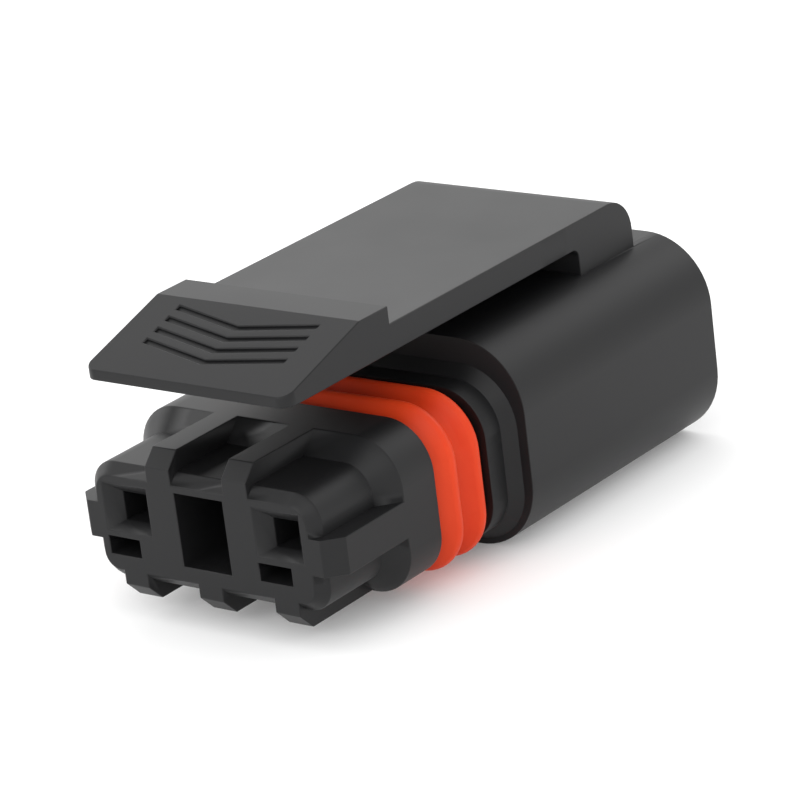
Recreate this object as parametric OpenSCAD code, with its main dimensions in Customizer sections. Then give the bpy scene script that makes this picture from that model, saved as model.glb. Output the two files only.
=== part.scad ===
// Sealed two-way plug housing for vehicle wiring, with its contacts, seals and press latch.
// Millimetres. X runs across the mating face, Y from the mating face to the wire end, Z up.
// Every module measures Y from the mating face; at_origin() then centres the plug on its length.

/* [Housing shell] */
// Width of the rear shell
shell_width = 15.73; // [15.4:0.01:18]
// Height of the rear shell
shell_height = 9.3; // [9:0.1:11]
// Length of the rear shell
shell_length = 14.25; // [13.8:0.05:18]
// Radius of the shell's upper edges
shell_top_r = 3.08; // [2.4:0.01:3.6]
// Radius of the shell's lower edges
shell_bottom_r = 3.14; // [2.4:0.01:3.8]
// Wall round the rear pocket
shell_wall = 1.3; // [0.9:0.05:1.6]

/* [Mating nose] */
// From the mating face to the shell's front face
nose_length = 11.95; // [11.6:0.05:14]
// Width of the nose's full profile
nose_width = 13.8; // [13.2:0.1:14.6]
// Height of the nose's full profile
nose_height = 6.9; // [6.7:0.1:7.3]
// Radius of the nose's upper edges
nose_top_r = 2.15; // [1.9:0.05:2.4]
// Radius of the nose's lower edges
nose_bottom_r = 2.05; // [1.9:0.05:2.4]
// Height of the nose's underside above the shell's underside
nose_rise = 0.78; // [0.6:0.02:1.1]
// How far the front of the nose is cut back from the full profile
relief_depth = 0.88; // [0.7:0.02:1]
// From the mating face to where the nose reaches its full profile
relief_length = 4.65; // [4:0.05:5]
// Bevel round the mating face
face_bevel = 0.47; // [0.2:0.01:0.6]
// Step from the nose up to the stop in front of the shell
collar_step = 0.5; // [0.3:0.01:0.6]

/* [Guides on the nose] */
// Gap between the two top rails
rail_gap = 2.77; // [2.4:0.01:3.2]
// Width of each top rail
rail_width = 1.28; // [1:0.01:1.5]
// Bevel at the front of each top rail
rail_bevel = 0.66; // [0.3:0.01:0.8]
// Height of each side key
key_height = 1.62; // [1.2:0.01:1.8]
// From the nose's top down to the upper side of each key
key_drop = 2.63; // [2.5:0.01:2.8]
// Bevel at the front of each side key
key_bevel = 0.74; // [0.3:0.01:0.85]
// Width of each rib under the nose
rib_width = 1.28; // [1:0.01:1.3]
// Bevel at the front of each rib
rib_bevel = 0.73; // [0.3:0.01:0.85]

/* [Contact entries] */
// Distance between the two contacts
pitch = 8; // [7.6:0.05:8.2]
// Width of a contact entry at the mating face
entry_width = 2.43; // [2.3:0.01:2.5]
// Height of a contact entry at the mating face
entry_height = 2.15; // [2.1:0.01:2.2]
// From the nose's underside up to the floor of an entry
entry_rise = 3.09; // [3.05:0.01:3.2]
// Depth of the tapered part of an entry
entry_depth = 0.64; // [0.4:0.01:0.9]
// Side of the square pin hole behind the taper
pin_hole = 1.24; // [1:0.01:1.3]
// How far the pin hole's centre lies below the entry's centre
pin_hole_drop = 0.16; // [0:0.01:0.2]
// Width of the service slot under each entry
service_width = 1.66; // [1.4:0.01:1.8]
// Height of the service slot
service_height = 0.79; // [0.7:0.01:0.85]
// From the nose's underside up to the floor of a service slot
service_rise = 2.02; // [1.95:0.01:2.1]
// Width of the slot between the contacts
middle_width = 2.54; // [2.2:0.01:2.6]

/* [Front retainer] */
// Length of the front retainer
retainer_length = 6.8; // [6.5:0.01:7]
// Length of the solid block that the contacts stop against
retainer_block = 5.2; // [4.9:0.05:5.4]
// Wall of the sleeve that holds the retainer in the housing
sleeve_wall = 0.4; // [0.35:0.01:0.42]
// How far the sleeve reaches back from the mating face
sleeve_length = 10.2; // [9.8:0.05:10.6]
// Height of the barbs on the sleeve
barb_height = 0.22; // [0.15:0.01:0.28]

/* [Ring seal] */
// Width of the seal's groove
gland_width = 3.6; // [3.5:0.01:3.8]
// Depth of the seal's groove below the nose's full profile
gland_depth = 0.8; // [0.7:0.01:0.85]
// Radius of the seal's lower edges at the height of the nose's full profile
seal_bottom_r = 2.1; // [2:0.05:2.6]
// How far the band between the ribs lies below the nose's full profile
seal_band_drop = 0.35; // [0.25:0.01:0.5]
// How far each rib stands above the nose's full profile
seal_rib_height = 0.3; // [0.25:0.01:0.4]
// Radius of each rib's rounded crest
seal_rib_r = 0.32; // [0.28:0.01:0.34]
// Slope of the ribs' flanks, in degrees from the band
seal_rib_slope = 54; // [50:1:60]
// From the front wall of the groove to the crest of the first rib
seal_rib_start = 0.98; // [0.95:0.01:1.05]
// Distance between the two ribs
seal_rib_pitch = 1.61; // [1.5:0.01:1.65]

/* [Latch] */
// Width of the latch plate
latch_width = 10.65; // [9:0.05:11]
// Thickness of the latch plate
latch_thickness = 1.18; // [1:0.01:1.4]
// Gap between the latch plate and the shell
latch_gap = 1.19; // [1.1:0.01:1.5]
// Height of the lock shoulder above the plate
shoulder_height = 0.78; // [0.5:0.01:1]
// From the mating face to the lock shoulder
shoulder_y = 7.05; // [6.5:0.05:7.6]
// From the mating face to the top of the press slope
slope_y = 5.15; // [4.5:0.05:5.6]
// How far the latch's front edge lies behind the mating face
latch_setback = 0.08; // [0:0.01:0.5]
// Thickness of the latch's front edge
latch_tip = 0.46; // [0.3:0.01:0.7]
// Radius of the latch's front corners, seen from above
latch_corner_r = 0.6; // [0.4:0.05:1.2]
// From the mating face to the closed end of the gap
gap_end = 20.3; // [19.5:0.05:20.8]
// Radius at the closed end of the gap
gap_r = 0.4; // [0.2:0.05:0.5]
// Length of the block that carries the latch plate
latch_root = 4.06; // [3.6:0.02:4.6]
// Radius of the block's rear upper edge
root_r = 1.6; // [0.8:0.05:1.8]
// How far in front of the gap's closed end the plate bends
hinge_setback = 0.5; // [0.5:0.05:0.8]

/* [Contacts] */
// Thickness of the sheet metal
stock = 0.25; // [0.2:0.01:0.27]
// Length of the contact box
box_length = 5.6; // [5.2:0.05:5.8]
// Outer diameter of the conductor crimp
conductor_crimp_d = 1.9; // [1.7:0.05:2]
// Length of the conductor crimp
conductor_crimp_length = 2.4; // [2.2:0.05:2.5]
// Outer diameter of the insulation crimp
insulation_crimp_d = 2.7; // [2.5:0.05:2.8]
// Length of the insulation crimp
insulation_crimp_length = 2.2; // [2:0.05:2.4]
// Thickness of the contact spring
spring_stock = 0.15; // [0.12:0.01:0.18]

/* [Wire seal and rear cover] */
// Diameter of the wire openings in the rear cover
wire_opening_d = 2.9; // [2.6:0.05:3.1]
// Bore of the wire seal between its lips
wire_seal_bore = 2.3; // [2.1:0.05:2.5]
// Bore of the wire seal at its lips
wire_seal_lip_bore = 1.7; // [1.5:0.05:1.9]
// Thickness of the wire seal
wire_seal_length = 4.2; // [4:0.05:4.3]
// Thickness of the rear cover
cover_length = 2; // [1.8:0.05:2.1]
// How far the rear cover sits inside the shell's rear end
cover_setback = 0.3; // [0.2:0.05:0.5]
// Height of the snap beads on the rear cover
bead_height = 0.2; // [0.1:0.01:0.25]

/* [Clearances] */
// Side clearance between moulded pieces
slip = 0.05; // [0.03:0.01:0.08]
// Clearance round the rubber seals at rest
seal_slip = 0.03; // [0.02:0.01:0.05]

/* [Hidden] */
$fn = 64;

overall_length = nose_length + shell_length;
plastic = "#2d2d2e";
silicone = "#d6482b";
tin = "#b9b6ae";
steel = "#8d9095";

// Heights
nose_bottom = nose_rise;
nose_top = nose_rise + nose_height;
core_bottom = nose_bottom + relief_depth;
core_top = nose_top - relief_depth;
key_top = nose_top - key_drop;
entry_floor = nose_rise + entry_rise;
entry_top = entry_floor + entry_height;
contact_z = entry_floor + entry_height / 2;
pin_z = contact_z - pin_hole_drop;
service_floor = nose_rise + service_rise;
service_top = service_floor + service_height;
latch_bottom = shell_height + latch_gap;
latch_top = latch_bottom + latch_thickness;
shoulder_top = latch_top + shoulder_height;

// Lengths, widths and depths shared by several pieces
overlap = 0.5;
neck_length = 1.6;
neck_step = 0.4;
crimp_gap = 0.5;
lance_length = 3.6;
barb_setback = 0.4;
barb_width = 1.4;
wire_seal_inset = 0.35;
wire_rib_height = wire_seal_inset - seal_slip;
wire_rib_flat = 0.2;
spring_length = 0.75 * box_length;
rail_out = rail_gap / 2 + rail_width;
service_left = -entry_width / 2;
contact_w = entry_width - 4 * slip;
contact_h = entry_height - 4 * slip;
crimp_bore_d = insulation_crimp_d + 8 * slip;
lance_nib = 0.4;
lance_thickness = 0.55;
barb_run = 0.9;
bead_width = 7;

// Stations along the plug
gland_end = retainer_length + gland_width;
hinge_y = gap_end - hinge_setback;
root_end = gap_end + latch_root;
cover_end = overall_length - cover_setback;
pocket_front = cover_end - cover_length - wire_seal_length;
contact_front = retainer_block + 4 * slip;
box_end = contact_front + box_length;
conductor_crimp_start = box_end + neck_length;
insulation_crimp_start = conductor_crimp_start + conductor_crimp_length + crimp_gap;
bore_start = conductor_crimp_start - neck_step;
lance_tip = box_end + 2 * slip;
lance_root = lance_tip + lance_length;
sleeve_end = sleeve_length;
barb_end = sleeve_end - barb_setback;
seal_foot = retainer_length + seal_slip;
seal_tail = gland_end - 6 * seal_slip;
first_rib = retainer_length + seal_rib_start;

// A rectangle between two heights, w wide, with round upper and lower corners
module profile(w, z0, z1, top_r, bottom_r) {
    mid = (z0 + bottom_r + z1 - top_r) / 2;
    translate([-w / 2 + top_r, mid]) square([w - 2 * top_r, z1 - mid]);
    translate([-w / 2 + bottom_r, z0]) square([w - 2 * bottom_r, mid - z0]);
    translate([-w / 2, z0 + bottom_r]) square([w, z1 - top_r - z0 - bottom_r]);
    for (side = [-1, 1]) {
        translate([side * (w / 2 - top_r), z1 - top_r]) circle(top_r);
        translate([side * (w / 2 - bottom_r), z0 + bottom_r]) circle(bottom_r);
    }
}

// The nose's full profile, drawn inwards by d
module nose_profile(d = 0) {
    profile(nose_width - 2 * d, nose_bottom + d, nose_top - d, nose_top_r - d, nose_bottom_r - d);
}

// Extrudes an outline drawn in X and Z along Y
module along(y0, y1) {
    translate([0, y1, 0]) rotate([90, 0, 0]) linear_extrude(y1 - y0) children();
}

// Extrudes an outline drawn in Y and Z across X
module across(x0, x1) {
    translate([x0, 0, 0]) rotate([90, 0, 90]) linear_extrude(x1 - x0) children();
}

// Sweeps a section round a rounded rectangle: the section's x is outwards, its y is along the plug
module around(w, z0, z1, top_r, bottom_r) {
    for (side = [0, 1]) mirror([side, 0, 0]) {
        translate([w / 2, 0, z0 + bottom_r])
            linear_extrude(z1 - top_r - z0 - bottom_r) children();
        corner(w / 2 - top_r, z1 - top_r, top_r, 270) children();
        corner(w / 2 - bottom_r, z0 + bottom_r, bottom_r, 0) children();
    }
    translate([w / 2 - top_r, 0, z1]) rotate([0, -90, 0]) linear_extrude(w - 2 * top_r) children();
    translate([-w / 2 + bottom_r, 0, z0]) rotate([0, 90, 0]) linear_extrude(w - 2 * bottom_r) children();
}

// A quarter turn of the section about an axis along the plug
module corner(x, z, r, start) {
    translate([x, 0, z]) rotate([-90, 0, 0]) rotate([0, 0, start])
        rotate_extrude(angle = 90) translate([r, 0]) children();
}

// Sweeps a section round the nose's full profile, drawn inwards by d
module around_nose(d = 0) {
    around(nose_width - 2 * d, nose_bottom + d, nose_top - d, nose_top_r - d, nose_bottom_r - d)
        children();
}

// The same for the seal and the groove's floor, whose lower edges have their own radius
module seal_profile(d = 0) {
    profile(nose_width - 2 * d, nose_bottom + d, nose_top - d, nose_top_r - d, seal_bottom_r - d);
}

// A box given by its lowest and highest corners
module block(low, high) {
    translate(low) cube(high - low);
}

// Moves the plug so that its length is centred on the origin
module at_origin() {
    translate([0, -overall_length / 2, 0]) children();
}

module at_contacts() {
    for (side = [-1, 1]) translate([side * pitch / 2, 0, 0]) children();
}

// ---- Front retainer: the nose's front, which traps the ring seal ----

// The body of the nose in front of the seal, cut back from the full profile up to relief_length
module nose_front() {
    along(face_bevel, retainer_length) nose_profile(relief_depth);
    along(0, face_bevel) nose_profile(relief_depth + face_bevel);
    around_nose(relief_depth) polygon([[-face_bevel, 0], [0, face_bevel], [-face_bevel, face_bevel]]);
    around_nose() polygon([[-relief_depth, relief_length - relief_depth], [0, relief_length],
                           [-relief_depth, relief_length]]);
    along(relief_length, retainer_length) nose_profile();
}

module top_rail() {
    across(rail_gap / 2, rail_out)
        polygon([[0, core_bottom + nose_bottom_r], [0, nose_top - rail_bevel], [rail_bevel, nose_top],
                 [relief_length, nose_top], [relief_length, core_bottom + nose_bottom_r]]);
}

module side_key() {
    translate([0, 0, key_top - key_height]) linear_extrude(key_height)
        polygon([[rail_out, 0], [nose_width / 2 - key_bevel, 0], [nose_width / 2, key_bevel],
                 [nose_width / 2, relief_length], [rail_out, relief_length]]);
}

module bottom_rib(x) {
    across(x - rib_width / 2, x + rib_width / 2)
        polygon([[0, core_bottom + overlap], [0, nose_bottom + rib_bevel], [rib_bevel, nose_bottom],
                 [relief_length, nose_bottom], [relief_length, core_bottom + overlap]]);
}

// A tapered entry: its sides and its roof and floor run in to the square pin hole
module tapered_entry() {
    narrow = pin_hole / 2;
    wide = entry_width / 2;
    intersection() {
        translate([0, 0, entry_floor - overlap]) linear_extrude(entry_height + 2 * overlap)
            polygon([[-wide, 0], [-narrow, entry_depth], [narrow, entry_depth], [wide, 0]]);
        across(-wide, wide)
            polygon([[0, entry_floor], [entry_depth, pin_z - narrow], [entry_depth, pin_z + narrow],
                     [0, entry_top]]);
    }
}

module contact_entry() {
    tapered_entry();
    block([-pin_hole / 2, entry_depth - overlap / 2, pin_z - pin_hole / 2],
          [pin_hole / 2, retainer_length + overlap, pin_z + pin_hole / 2]);
    block([service_left, -overlap, service_floor],
          [service_left + service_width, retainer_length + overlap, service_top]);
}

// The hollow sleeve between the contacts, with a barb on each side
module retainer_sleeve() {
    half = middle_width / 2 + sleeve_wall;
    block([-half, retainer_block - overlap, service_floor - sleeve_wall],
          [half, sleeve_end, entry_top + sleeve_wall]);
    for (side = [0, 1]) mirror([side, 0, 0])
        translate([0, 0, contact_z - barb_width / 2]) linear_extrude(barb_width)
            polygon([[half - sleeve_wall / 2, barb_end - barb_run], [half + barb_height, barb_end - barb_run],
                     [half, barb_end], [half - sleeve_wall / 2, barb_end]]);
}

module front_retainer() {
    color(plastic) at_origin() difference() {
        union() {
            difference() {
                union() {
                    nose_front();
                    for (side = [0, 1]) mirror([side, 0, 0]) {
                        top_rail();
                        side_key();
                        bottom_rib(pitch / 2);
                    }
                    bottom_rib(0);
                }
                along(retainer_block, retainer_length + overlap) seal_profile(gland_depth - slip);
            }
            retainer_sleeve();
        }
        at_contacts() contact_entry();
        block([-middle_width / 2, -overlap, service_floor],
              [middle_width / 2, sleeve_end + overlap, entry_top]);
    }
}

// ---- Ring seal: two ribs that seal against the mating socket ----

module ring_seal() {
    color(silicone) at_origin()
        around(nose_width, nose_bottom, nose_top, nose_top_r, seal_bottom_r) union() {
            translate([-gland_depth + seal_slip, seal_foot])
                square([gland_depth - seal_slip - seal_band_drop, seal_tail - seal_foot]);
            for (i = [0, 1]) translate([0, first_rib + i * seal_rib_pitch]) seal_rib();
        }
}

// One rib in section: two straight flanks that run into the rounded crest
module seal_rib() {
    centre = seal_rib_height - seal_rib_r;
    side = seal_rib_r * sin(seal_rib_slope);
    rise = seal_rib_r * cos(seal_rib_slope);
    foot = side + (centre + rise + seal_band_drop) / tan(seal_rib_slope);
    translate([centre, 0]) circle(seal_rib_r);
    polygon([[-seal_band_drop - slip, -foot], [-seal_band_drop, -foot], [centre + rise, -side],
             [centre + rise, side], [-seal_band_drop, foot], [-seal_band_drop - slip, foot]]);
}

// ---- Housing: shell, contact carrier, seal groove and latch root in one moulding ----

module housing_solid() {
    along(nose_length, overall_length)
        profile(shell_width, 0, shell_height, shell_top_r, shell_bottom_r);
    along(gland_end, nose_length + overlap) nose_profile();
    around_nose() polygon([[-overlap, nose_length - collar_step], [0, nose_length - collar_step],
                           [collar_step, nose_length], [-overlap, nose_length]]);
    along(retainer_block + 2 * slip, gland_end + overlap) seal_profile(gland_depth);
    latch_root_block();
}

// The block on the shell that the latch plate grows from, with the stub of the plate
module latch_root_block() {
    across(-latch_width / 2, latch_width / 2) difference() {
        union() {
            translate([gap_end, shell_height - shell_wall / 2]) {
                square([latch_root - root_r, latch_top - shell_height + shell_wall / 2]);
                square([latch_root, latch_top - root_r - shell_height + shell_wall / 2]);
            }
            translate([root_end - root_r, latch_top - root_r]) circle(root_r);
            translate([hinge_y, latch_bottom]) square([hinge_setback + overlap, latch_thickness]);
            translate([gap_end - gap_r, latch_bottom - gap_r]) square(gap_r);
        }
        translate([gap_end - gap_r, latch_bottom - gap_r]) circle(gap_r);
    }
}

// Cavity for one contact: a box seat in front, a round bore behind it, and the locking finger's slot
module contact_cavity() {
    block([-entry_width / 2, 0, entry_floor], [entry_width / 2, bore_start + overlap, entry_top]);
    translate([0, 0, contact_z]) rotate([-90, 0, 0]) {
        translate([0, 0, bore_start]) cylinder(d = crimp_bore_d, h = overall_length - bore_start);
    }
    block([service_left, 0, service_floor], [service_left + service_width, lance_root, contact_z]);
}

// The flexible finger that locks behind the contact box
module locking_finger() {
    across(service_left + 2 * slip, service_left + service_width - 2 * slip)
        polygon([[lance_tip, entry_floor - lance_thickness - slip], [lance_tip, entry_floor + lance_nib],
                 [lance_tip + lance_nib, entry_floor + lance_nib],
                 [lance_tip + 4 * lance_nib, entry_floor - slip],
                 [lance_root + overlap, entry_floor - slip],
                 [lance_root + overlap, entry_floor - lance_thickness - slip]]);
}

// The pocket between the cavities for the retainer's sleeve, with its barb windows
module sleeve_pocket() {
    half = middle_width / 2 + sleeve_wall + slip;
    block([-half, 0, service_floor - sleeve_wall - slip],
          [half, sleeve_end + 6 * slip, entry_top + sleeve_wall + slip]);
    block([-half - barb_height, barb_end - barb_run - slip, contact_z - barb_width / 2 - slip],
          [half + barb_height, barb_end + slip, contact_z + barb_width / 2 + slip]);
}

// The rear pocket's outline, drawn inwards by d
module pocket_profile(d = 0) {
    w = shell_wall + d;
    profile(shell_width - 2 * w, w, shell_height - w, shell_top_r - w, shell_bottom_r - w);
}

// Sweeps a section round the rear pocket's wall, drawn inwards by d
module around_pocket(d = 0) {
    w = shell_wall + d;
    around(shell_width - 2 * w, w, shell_height - w, shell_top_r - w, shell_bottom_r - w) children();
}

// Snap beads above and below the rear cover, or with grow the grooves that they sit in
module cover_beads(grow) {
    y = cover_end - cover_length / 2;
    r = bead_height + grow;
    for (z = [shell_wall, shell_height - shell_wall])
        across(-bead_width / 2 - grow, bead_width / 2 + grow)
            polygon([[y - 2 * r, z], [y, z - r], [y + 2 * r, z], [y, z + r]]);
}

module housing() {
    color(plastic) at_origin() {
        difference() {
            housing_solid();
            at_contacts() contact_cavity();
            sleeve_pocket();
            along(pocket_front, overall_length + overlap) pocket_profile();
            cover_beads(slip);
        }
        at_contacts() locking_finger();
    }
}

// ---- Latch lever: press pad, lock shoulder and plate ----

module latch_lever() {
    color(plastic) at_origin() intersection() {
        across(-latch_width / 2, latch_width / 2)
            polygon([[latch_setback, latch_bottom], [latch_setback, latch_bottom + latch_tip],
                     [slope_y, shoulder_top], [shoulder_y, shoulder_top], [shoulder_y, latch_top],
                     [hinge_y - slip / 2, latch_top], [hinge_y - slip / 2, latch_bottom]]);
        translate([0, 0, latch_bottom - overlap]) linear_extrude(shoulder_top - latch_bottom + 2 * overlap)
            latch_outline();
    }
}

// The lever seen from above, with its front corners rounded
module latch_outline() {
    half = latch_width / 2;
    translate([-half, latch_setback + latch_corner_r])
        square([latch_width, hinge_y - latch_setback - latch_corner_r]);
    translate([-half + latch_corner_r, latch_setback])
        square([latch_width - 2 * latch_corner_r, 2 * latch_corner_r]);
    for (side = [-1, 1])
        translate([side * (half - latch_corner_r), latch_setback + latch_corner_r]) circle(latch_corner_r);
}

// ---- Wire seal and rear cover ----

module wire_seal() {
    lip = (wire_seal_bore - wire_seal_lip_bore) / 2;
    foot = wire_rib_height + wire_rib_flat;
    color(silicone) at_origin() {
        difference() {
            union() {
                along(pocket_front + seal_slip, pocket_front + wire_seal_length - seal_slip)
                    pocket_profile(wire_seal_inset);
                for (i = [1, 2]) around_pocket(wire_seal_inset)
                    translate([0, pocket_front + i * wire_seal_length / 3])
                        polygon([[-wire_rib_flat, -foot], [0, -foot], [wire_rib_height, -wire_rib_flat],
                                 [wire_rib_height, wire_rib_flat], [0, foot], [-wire_rib_flat, foot]]);
            }
            at_contacts() translate([0, 0, contact_z]) rotate([-90, 0, 0])
                translate([0, 0, pocket_front - overlap])
                    cylinder(d = wire_seal_bore, h = wire_seal_length + 2 * overlap);
        }
        at_contacts() for (i = [1, 2])
            translate([0, pocket_front + i * wire_seal_length / 3, contact_z]) rotate([-90, 0, 0])
                rotate_extrude() translate([wire_seal_bore / 2 + slip, 0])
                    polygon([[0, -lip], [-lip - slip, 0], [0, lip]]);
    }
}

module rear_cover() {
    color(plastic) at_origin() difference() {
        union() {
            along(cover_end - cover_length, cover_end) pocket_profile(slip);
            intersection() {
                cover_beads(0);
                along(cover_end - cover_length, cover_end)
                    pocket_profile(-bead_height - slip);
            }
        }
        at_contacts() translate([0, 0, contact_z]) rotate([-90, 0, 0])
            translate([0, 0, cover_end - cover_length - overlap])
                cylinder(d = wire_opening_d, h = cover_length + 2 * overlap);
    }
}

// ---- Contacts: folded box, neck and two crimps ----

// A rolled sheet-metal barrel along Y with its seam on top
module crimp(y0, length, d) {
    translate([0, y0, 0]) rotate([-90, 0, 0]) difference() {
        cylinder(d = d, h = length);
        translate([0, 0, -overlap]) cylinder(d = d - 2 * stock, h = length + 2 * overlap);
        translate([-stock / 4, -d, -overlap]) cube([stock / 2, d, length + 2 * overlap]);
    }
}

module contact() {
    half = contact_w / 2;
    floor_z = contact_z - contact_h / 2;
    difference() {
        block([-half, contact_front, floor_z], [half, box_end, floor_z + contact_h]);
        block([-half + stock, contact_front - overlap, floor_z + stock],
              [half - stock, box_end + overlap, floor_z + contact_h - stock]);
        block([-stock / 4, contact_front - overlap, floor_z + contact_h - 2 * stock],
              [stock / 4, box_end + overlap, floor_z + contact_h + overlap]);
    }
    contact_neck(floor_z);
    translate([0, 0, contact_z]) crimp(conductor_crimp_start, conductor_crimp_length, conductor_crimp_d);
    translate([0, 0, contact_z]) crimp(insulation_crimp_start, insulation_crimp_length, insulation_crimp_d);
}

// The strip that joins the box to both crimps, stepping to each one's floor. It runs beside the
// locking finger.
module contact_neck(floor_z) {
    conductor_floor = contact_z - 0.9 * conductor_crimp_d / 2;
    insulation_floor = contact_z - 0.9 * insulation_crimp_d / 2;
    neck = [[box_end - stock, floor_z], [conductor_crimp_start - neck_step, floor_z],
            [conductor_crimp_start, conductor_floor],
            [conductor_crimp_start + conductor_crimp_length, conductor_floor],
            [insulation_crimp_start, insulation_floor], [insulation_crimp_start + stock, insulation_floor]];
    across(service_left + service_width, contact_w / 2 - stock)
        polygon(concat(neck, [for (i = [len(neck) - 1:-1:0]) neck[i] + [0, stock]]));
}

module contact_left() {
    color(tin) at_origin() translate([-pitch / 2, 0, 0]) contact();
}

module contact_right() {
    color(tin) at_origin() translate([pitch / 2, 0, 0]) contact();
}

// A leaf folded back from the front of the box, bowed down towards the pin
module contact_spring() {
    roof = contact_z + contact_h / 2 - stock - slip / 2;
    bow = contact_h / 3;
    half = contact_w / 2 - stock - spring_stock;
    upper = [[spring_length, 0], [0, 0], [bow, -0.7 * bow], [0.45 * spring_length, -bow],
             [0.85 * spring_length, -0.6 * bow]];
    lower = [[0.85 * spring_length, spring_stock - 0.6 * bow], [0.45 * spring_length, spring_stock - bow],
             [bow + spring_stock, spring_stock - 0.7 * bow], [3 * spring_stock, -spring_stock],
             [spring_length, -spring_stock]];
    translate([0, contact_front + neck_step, roof]) across(-half, half) polygon(concat(upper, lower));
}

module contact_spring_left() {
    color(steel) at_origin() translate([-pitch / 2, 0, 0]) contact_spring();
}

module contact_spring_right() {
    color(steel) at_origin() translate([pitch / 2, 0, 0]) contact_spring();
}

housing();
latch_lever();
front_retainer();
ring_seal();
wire_seal();
rear_cover();
contact_left();
contact_right();
contact_spring_left();
contact_spring_right();
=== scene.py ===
"""The looks of a sealed two-way plug: black glass-filled plastic, an orange silicone seal and tinned contacts."""

import math

import bmesh
import bpy
from mathutils import Matrix, Vector


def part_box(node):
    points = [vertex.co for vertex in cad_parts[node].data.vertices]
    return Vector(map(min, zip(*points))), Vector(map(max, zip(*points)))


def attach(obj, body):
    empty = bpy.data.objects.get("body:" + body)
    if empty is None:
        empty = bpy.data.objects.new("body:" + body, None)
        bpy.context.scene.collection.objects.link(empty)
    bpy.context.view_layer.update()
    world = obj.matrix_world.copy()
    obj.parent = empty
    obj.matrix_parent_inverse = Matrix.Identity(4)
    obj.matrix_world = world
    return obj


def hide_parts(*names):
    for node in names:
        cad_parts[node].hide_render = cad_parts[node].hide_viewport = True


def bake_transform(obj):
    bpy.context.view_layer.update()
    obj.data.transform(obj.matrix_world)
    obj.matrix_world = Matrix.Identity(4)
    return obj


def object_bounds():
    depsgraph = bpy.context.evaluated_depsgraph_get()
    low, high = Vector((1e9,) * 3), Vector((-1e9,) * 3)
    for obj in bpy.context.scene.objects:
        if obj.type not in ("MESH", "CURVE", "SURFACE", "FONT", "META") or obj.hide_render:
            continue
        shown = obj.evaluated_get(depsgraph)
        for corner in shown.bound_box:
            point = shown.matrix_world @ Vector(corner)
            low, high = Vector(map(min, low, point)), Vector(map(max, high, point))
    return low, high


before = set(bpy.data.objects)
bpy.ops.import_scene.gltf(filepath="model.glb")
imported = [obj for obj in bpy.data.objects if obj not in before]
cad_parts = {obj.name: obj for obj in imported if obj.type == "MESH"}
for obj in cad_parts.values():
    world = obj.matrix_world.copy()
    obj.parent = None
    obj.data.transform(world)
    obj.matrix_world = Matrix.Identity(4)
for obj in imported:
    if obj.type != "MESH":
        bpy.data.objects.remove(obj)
cad_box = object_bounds()
MM = 0.001

# Places on the plug, in the frame, in metres
MATING_FACE = cad_box[0][1]
LEVER_LOW, LEVER_HIGH = (Vector(p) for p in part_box("latch_lever"))

# The latch, seen from its side. Distances run back from the mating face, heights up from the shell's underside.
PLATE_UNDERSIDE = LEVER_LOW.z
PLATE_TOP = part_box("housing")[1][2]
PAD_TOP = LEVER_HIGH.z
TIP = LEVER_LOW.y
TIP_TOP = PLATE_UNDERSIDE + 0.46 * MM
SLOPE_TOP = MATING_FACE + 5.15 * MM
SHOULDER = MATING_FACE + 7.05 * MM
GAP_END = MATING_FACE + 20.3 * MM
GAP_RADIUS = 0.4 * MM
ROOT_END = GAP_END + 4.06 * MM
ROOT_RADIUS = 1.6 * MM
SHELL_TOP = PLATE_UNDERSIDE - 1.19 * MM
TIP_CORNER = 0.6 * MM
HINGE = LEVER_HIGH.y

# How far the latch's skin stands outside the solids it covers
SKIN = 0.015 * MM
# Radius that the mould leaves on an edge
MOULD_EDGE = 0.05 * MM
# Edges that turn by more degrees than this are rounded, on most pieces and on the latch. The ridge
# between the pad's top and its slope turns by only 16.
EDGE_TURN = 18
LATCH_EDGE_TURN = 12
# Two places closer than this are the same
SAME = 0.0001 * MM

# The grip marks on the press pad: nested chevrons
MARKS = 4
MARK_PITCH = 0.78 * MM
MARK_STROKE = 0.3 * MM
MARK_REACH = 3.7 * MM
MARK_DROP = 0.8 * MM
MARK_DEPTH = 0.12 * MM
# How far the marks' middle lies up the slope from the slope's own middle
MARK_RISE = 0.25 * MM

# Where the latch bends: cross loops near the hinge, and the length over which it turns
BEND_LOOPS = 9
BEND_START = 0.2 * MM
BEND_STEP = 0.25 * MM


def put(obj_name, mesh_or_bm, finish, body=None, replaces=()):
    """Makes a piece from a mesh or bmesh, with its finish, its body and the CAD nodes that it stands for."""
    mesh = mesh_or_bm
    if isinstance(mesh, bmesh.types.BMesh):
        mesh = bpy.data.meshes.new(obj_name)
        mesh_or_bm.to_mesh(mesh)
        mesh_or_bm.free()
    piece = bpy.data.objects.new(obj_name, mesh)
    bpy.context.scene.collection.objects.link(piece)
    mesh.materials.clear()
    mesh.materials.append(finish)
    if body:
        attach(piece, body)
    if replaces:
        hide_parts(*replaces)
    return piece


def soften_edges(piece, turn=EDGE_TURN):
    """Rounds a piece's outer edges as moulding does. Inner corners stay crisp and flat faces stay flat."""
    piece.data.shade_smooth()
    bm = bmesh.new()
    bm.from_mesh(piece.data)
    rounded = bm.edges.layers.float.new("bevel_weight_edge")
    for e in bm.edges:
        if e.calc_face_angle(0) > math.radians(turn):
            e[rounded] = float(e.is_convex)
            e.smooth = e.is_convex
    bm.to_mesh(piece.data)
    bm.free()
    edge = piece.modifiers.new("moulded edges", "BEVEL")
    edge.width = MOULD_EDGE
    edge.segments = 2
    edge.limit_method = "WEIGHT"
    edge.use_clamp_overlap = True
    edge.miter_outer = "MITER_ARC"
    flat = piece.modifiers.new("flat faces", "WEIGHTED_NORMAL")
    flat.keep_sharp = True
    flat.weight = 80


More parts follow.
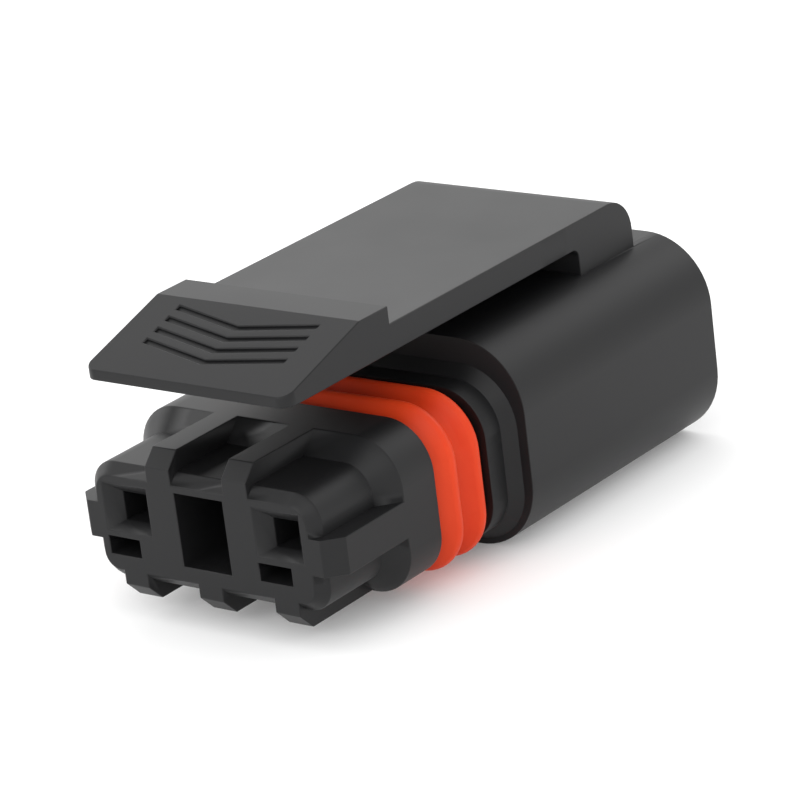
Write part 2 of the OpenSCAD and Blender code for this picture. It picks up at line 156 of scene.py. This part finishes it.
def merged_copy(node):
    """A bmesh copy of a CAD node with its loose triangles joined and its flat faces made whole."""
    bm = bmesh.new()
    bm.from_mesh(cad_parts[node].data)
    bmesh.ops.remove_doubles(bm, verts=bm.verts, dist=0.0005 * MM)
    bmesh.ops.dissolve_limit(bm, angle_limit=math.radians(0.3), verts=bm.verts, edges=bm.edges)
    return bm


# ---- Finishes ----


def colour(hex_code):
    """Linear RGBA from an sRGB hex code."""
    parts = [int(hex_code[i : i + 2], 16) / 255 for i in (1, 3, 5)]
    return [c / 12.92 if c <= 0.04045 else ((c + 0.055) / 1.055) ** 2.4 for c in parts] + [1.0]


def add(tree, kind, settings=(), links=()):
    """Adds a node with its settings, and links each (input, source node, source output)."""
    node = tree.nodes.new(kind)
    for key, value in dict(settings).items():
        if hasattr(node, key):
            setattr(node, key, value)
        else:
            node.inputs[key].default_value = value
    for socket, source, output in links:
        tree.links.new(source.outputs[output], node.inputs[socket])
    return node


def finish_named(name):
    """An empty material with its shader and output, ready to be dressed."""
    material = bpy.data.materials.new(name)
    material.use_nodes = True
    tree = material.node_tree
    return material, tree, tree.nodes["Principled BSDF"]


def black_moulded_plastic():
    """Black glass-filled polyester, injection moulded: nearly black inside, with a satin skin that reflects the sky."""
    material, tree, shader = finish_named("moulded glass-filled polyester, black")
    place = add(tree, "ShaderNodeTexCoord")
    # Spark-eroded mould skin, grains of about 0.06 mm
    grain = add(tree, "ShaderNodeTexNoise", {"Scale": 1 / (0.06 * MM), "Detail": 2.0}, [("Vector", place, "Object")])
    # Slow change of gloss where the melt flowed, over about 3 mm
    flow = add(tree, "ShaderNodeTexNoise", {"Scale": 1 / (3 * MM), "Detail": 2.0}, [("Vector", place, "Object")])
    tone = add(tree, "ShaderNodeValToRGB", {}, [("Fac", flow, "Fac")])
    tone.color_ramp.elements[0].color = colour("#151516")
    tone.color_ramp.elements[1].color = colour("#181819")
    gloss = add(tree, "ShaderNodeMapRange", {"To Min": 0.42, "To Max": 0.46}, [("Value", flow, "Fac")])
    relief = add(tree, "ShaderNodeBump", {"Strength": 0.06, "Distance": 0.004 * MM}, [("Height", grain, "Fac")])
    tree.links.new(tone.outputs["Color"], shader.inputs["Base Color"])
    tree.links.new(gloss.outputs["Result"], shader.inputs["Roughness"])
    tree.links.new(relief.outputs["Normal"], shader.inputs["Normal"])
    shader.inputs["IOR"].default_value = 1.5
    shader.inputs["Specular IOR Level"].default_value = 0.27
    return material


def orange_silicone():
    """Orange-red silicone rubber, pressed in a polished mould: light scatters a little under a softly shining skin."""
    material, tree, shader = finish_named("silicone rubber, orange-red")
    place = add(tree, "ShaderNodeTexCoord")
    cloud = add(tree, "ShaderNodeTexNoise", {"Scale": 1 / (2 * MM), "Detail": 2.0}, [("Vector", place, "Object")])
    tone = add(tree, "ShaderNodeValToRGB", {}, [("Fac", cloud, "Fac")])
    tone.color_ramp.elements[0].color = colour("#cb3a18")
    tone.color_ramp.elements[1].color = colour("#d5401a")
    skin = add(tree, "ShaderNodeTexNoise", {"Scale": 1 / (0.12 * MM), "Detail": 2.0}, [("Vector", place, "Object")])
    relief = add(tree, "ShaderNodeBump", {"Strength": 0.05, "Distance": 0.004 * MM}, [("Height", skin, "Fac")])
    tree.links.new(tone.outputs["Color"], shader.inputs["Base Color"])
    tree.links.new(relief.outputs["Normal"], shader.inputs["Normal"])
    shader.inputs["Roughness"].default_value = 0.45
    shader.inputs["IOR"].default_value = 1.41
    shader.inputs["Specular IOR Level"].default_value = 0.25
    shader.inputs["Subsurface Weight"].default_value = 0.15
    shader.inputs["Subsurface Radius"].default_value = (1.0, 0.25, 0.1)
    shader.inputs["Subsurface Scale"].default_value = 0.3 * MM
    return material


def tinned_bronze():
    """Tin-plated copper alloy strip, rolled and folded: a pale grey metal with faint lines along the strip."""
    material, tree, shader = finish_named("tin-plated bronze strip")
    place = add(tree, "ShaderNodeTexCoord")
    along = add(tree, "ShaderNodeMapping", {"Scale": (1, 0.05, 1)}, [("Vector", place, "Object")])
    lines = add(tree, "ShaderNodeTexNoise", {"Scale": 1 / (0.05 * MM), "Detail": 2.0}, [("Vector", along, "Vector")])
    gloss = add(tree, "ShaderNodeMapRange", {"To Min": 0.22, "To Max": 0.4}, [("Value", lines, "Fac")])
    relief = add(tree, "ShaderNodeBump", {"Strength": 0.1, "Distance": 0.002 * MM}, [("Height", lines, "Fac")])
    tree.links.new(gloss.outputs["Result"], shader.inputs["Roughness"])
    tree.links.new(relief.outputs["Normal"], shader.inputs["Normal"])
    shader.inputs["Base Color"].default_value = colour("#c9c6bf")
    shader.inputs["Metallic"].default_value = 1.0
    return material


def spring_steel():
    """Stainless spring strip, cold rolled: darker and smoother than the tin beside it."""
    material, tree, shader = finish_named("stainless spring steel")
    place = add(tree, "ShaderNodeTexCoord")
    haze = add(tree, "ShaderNodeTexNoise", {"Scale": 1 / (0.2 * MM), "Detail": 2.0}, [("Vector", place, "Object")])
    gloss = add(tree, "ShaderNodeMapRange", {"To Min": 0.2, "To Max": 0.3}, [("Value", haze, "Fac")])
    tree.links.new(gloss.outputs["Result"], shader.inputs["Roughness"])
    shader.inputs["Base Color"].default_value = colour("#a3a4a6")
    shader.inputs["Metallic"].default_value = 1.0
    return material


def white_table():
    """Matt white acrylic of a product table, lit evenly from beneath so that the shadows on it stay light."""
    material, tree, shader = finish_named("matt white acrylic, lit from beneath")
    shader.inputs["Base Color"].default_value = (0.86, 0.86, 0.86, 1)
    shader.inputs["Emission Color"].default_value = (1, 1, 1, 1)
    shader.inputs["Emission Strength"].default_value = 0.15
    shader.inputs["Roughness"].default_value = 0.9
    shader.inputs["Specular IOR Level"].default_value = 0.1
    return material


PLASTIC = black_moulded_plastic()
SILICONE = orange_silicone()
TIN = tinned_bronze()
STEEL = spring_steel()


# ---- Moulded pieces taken from the CAD ----

for name, node in (("shell", "housing"), ("nose", "front_retainer"), ("cover", "rear_cover")):
    soften_edges(put(name, merged_copy(node), PLASTIC, "plug", [node]))
seal = put("seal", merged_copy("ring_seal"), SILICONE, "plug", ["ring_seal"])
seal.data.shade_smooth()
seal.data.set_sharp_from_angle(angle=math.radians(40))

for node, finish in (
    ("wire_seal", SILICONE),
    ("contact_left", TIN),
    ("contact_right", TIN),
    ("contact_spring_left", STEEL),
    ("contact_spring_right", STEEL),
):
    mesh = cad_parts[node].data
    mesh.materials.clear()
    mesh.materials.append(finish)


# ---- The latch: one springy moulding from the press pad to its root on the shell ----


def pull(bm, face, way):
    """Pulls a face along a vector into a solid."""
    pulled = bmesh.ops.extrude_face_region(bm, geom=[face])["geom"]
    bmesh.ops.translate(bm, vec=way, verts=[v for v in pulled if isinstance(v, bmesh.types.BMVert)])


def arc(centre, radius, start, end, steps):
    """Points round part of a circle in the plane of the latch's side, angles in degrees from straight back, upwards."""
    return [
        (
            centre[0] + radius * math.cos(math.radians(start + (end - start) * i / steps)),
            centre[1] + radius * math.sin(math.radians(start + (end - start) * i / steps)),
        )
        for i in range(steps + 1)
    ]


def latch_block():
    """The latch's side outline, drawn across its width, with rounded front corners."""
    half = LEVER_HIGH.x + SKIN
    top, back = PLATE_TOP + SKIN, ROOT_END + SKIN
    outline = [
        (TIP, PLATE_UNDERSIDE - SKIN),
        (TIP, TIP_TOP),
        (SLOPE_TOP, PAD_TOP),
        (SHOULDER, PAD_TOP),
        (SHOULDER, top),
    ]
    outline += arc((back - ROOT_RADIUS, top - ROOT_RADIUS), ROOT_RADIUS, 90, 0, 10)
    outline += [(back, SHELL_TOP - 0.2 * MM), (GAP_END - SKIN, SHELL_TOP - 0.2 * MM)]
    outline += arc(
        (GAP_END - SKIN - GAP_RADIUS, PLATE_UNDERSIDE - SKIN - GAP_RADIUS), GAP_RADIUS, 0, 90, 10
    )
    bm = bmesh.new()
    side = bm.faces.new([bm.verts.new((-half, y, z)) for y, z in outline])
    pull(bm, side, (2 * half, 0, 0))
    bmesh.ops.recalc_face_normals(bm, faces=bm.faces)
    corners = [
        e
        for e in bm.edges
        if abs(e.verts[0].co.y - TIP) < SAME
        and abs(e.verts[1].co.y - TIP) < SAME
        and abs(e.verts[0].co.x - e.verts[1].co.x) < SAME
    ]
    bmesh.ops.bevel(
        bm, geom=corners, offset=TIP_CORNER, segments=8, profile=0.5, affect="EDGES", material=-1
    )
    return bm


def chevrons():
    """Grip marks for the press pad: nested chevrons that point to the tip, as one cutting solid."""
    along = Vector((0, SLOPE_TOP - TIP, PAD_TOP - TIP_TOP)).normalized()
    out = Vector((1, 0, 0)).cross(along)
    middle = Vector((0, (TIP + SLOPE_TOP) / 2, (TIP_TOP + PAD_TOP) / 2)) + along * MARK_RISE
    bm = bmesh.new()
    for i in range(MARKS):
        shift = (i - (MARKS - 1) / 2) * MARK_PITCH
        ring = [
            (-MARK_REACH, shift + MARK_DROP / 2),
            (0, shift - MARK_DROP / 2),
            (MARK_REACH, shift + MARK_DROP / 2),
            (MARK_REACH, shift + MARK_DROP / 2 + MARK_STROKE),
            (0, shift - MARK_DROP / 2 + MARK_STROKE),
            (-MARK_REACH, shift + MARK_DROP / 2 + MARK_STROKE),
        ]
        base = [bm.verts.new(middle + Vector((x, 0, 0)) + along * y - out * MARK_DEPTH) for x, y in ring]
        # The cutter stands well clear of the slope
        pull(bm, bm.faces.new(base), out * 0.4 * MM)
    bmesh.ops.recalc_face_normals(bm, faces=bm.faces)
    return bm


def cut_and_kept(name, bm, cutter_bm):
    """A new mesh: the first solid with the second one cut out of it."""
    meshes = [bpy.data.meshes.new(name), bpy.data.meshes.new("cutter")]
    for mesh, solid in zip(meshes, (bm, cutter_bm)):
        solid.to_mesh(mesh)
        solid.free()
    body, cutter = (bpy.data.objects.new(m.name, m) for m in meshes)
    for obj in (body, cutter):
        bpy.context.scene.collection.objects.link(obj)
    cut = body.modifiers.new("cut", "BOOLEAN")
    cut.operation = "DIFFERENCE"
    cut.solver = "EXACT"
    cut.object = cutter
    bpy.context.view_layer.update()
    result = bpy.data.meshes.new_from_object(body.evaluated_get(bpy.context.evaluated_depsgraph_get()))
    for obj in (body, cutter):
        bpy.data.objects.remove(obj)
    for mesh in meshes:
        bpy.data.meshes.remove(mesh)
    result.name = name
    return result


def latch_mesh():
    """The latch with its grip marks, and with cross loops near the hinge, where the real latch bends."""
    bm = bmesh.new()
    bm.from_mesh(cut_and_kept("latch", latch_block(), chevrons()))
    for i in range(BEND_LOOPS):
        y = HINGE - BEND_START - i * BEND_STEP
        bmesh.ops.bisect_plane(
            bm, geom=bm.verts[:] + bm.edges[:] + bm.faces[:], plane_co=(0, y, 0), plane_no=(0, 1, 0)
        )
    return bm


latch = put("latch", latch_mesh(), PLASTIC, replaces=["latch_lever"])
soften_edges(latch, LATCH_EDGE_TURN)
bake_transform(latch)


# ---- Camera, table and light ----

# The plug's turn, the camera's height and its roll, in degrees; then how far off it stands
TURN, RISE, ROLL = math.radians(39.417), math.radians(20.004), math.radians(-7.138)
DISTANCE = 167.30 * MM
AIM = Vector((8.302 * MM, 3.123 * MM, 0))

ahead = Vector((-math.sin(TURN) * math.cos(RISE), math.cos(TURN) * math.cos(RISE), -math.sin(RISE)))
level = Vector((math.cos(TURN), math.sin(TURN), 0))
lift = level.cross(ahead)
right = level * math.cos(ROLL) + lift * math.sin(ROLL)
up = lift * math.cos(ROLL) - level * math.sin(ROLL)
# The distance is measured from this point, in the plane of the mating face
start = Vector((0, MATING_FACE, 6.92 * MM))
lens = bpy.data.cameras.new("camera")
lens.lens = 186.56
lens.sensor_width = 36
lens.clip_start = 0.005
lens.clip_end = 20
camera = bpy.data.objects.new("camera", lens)
bpy.context.scene.collection.objects.link(camera)
camera.matrix_world = Matrix.Translation(start + right * AIM.x + up * AIM.y - ahead * DISTANCE) @ Matrix(
    (right, up, -ahead)
).transposed().to_4x4()
bpy.context.scene.camera = camera

bm = bmesh.new()
bmesh.ops.create_circle(bm, cap_ends=True, radius=3.0, segments=96)
table_mesh = bpy.data.meshes.new("table")
bm.to_mesh(table_mesh)
bm.free()
table = bpy.data.objects.new("table", table_mesh)
table_mesh.materials.append(white_table())
bpy.context.scene.collection.objects.link(table)

world = bpy.data.worlds.new("white studio")
world.use_nodes = True
world.node_tree.nodes["Background"].inputs["Color"].default_value = (1, 1, 1, 1)
world.node_tree.nodes["Background"].inputs["Strength"].default_value = 1.13
bpy.context.scene.world = world


SOFTBOX_WIDTH = 0.4


def softbox(name, place, watts):
    """A round white softbox that faces the plug."""
    light = bpy.data.lights.new(name, "AREA")
    light.shape = "DISK"
    light.size = SOFTBOX_WIDTH
    light.energy = watts
    box = bpy.data.objects.new(name, light)
    box.location = place
    box.rotation_euler = (-box.location).to_track_quat("-Z", "Y").to_euler()
    bpy.context.scene.collection.objects.link(box)


softbox("rear left softbox", (-0.45, 0.5, 0.3), 0.33)
softbox("rear softbox", (0.1, 0.7, 0.35), 0.65)
softbox("front softbox", (-0.1, -0.65, 0.35), 1.35)
softbox("left softbox", (-0.65, -0.05, 0.3), 0.8)
softbox("softbox over the camera", (0.35, -0.5, 0.45), 0.55)

bpy.context.scene.view_settings.view_transform = "Standard"
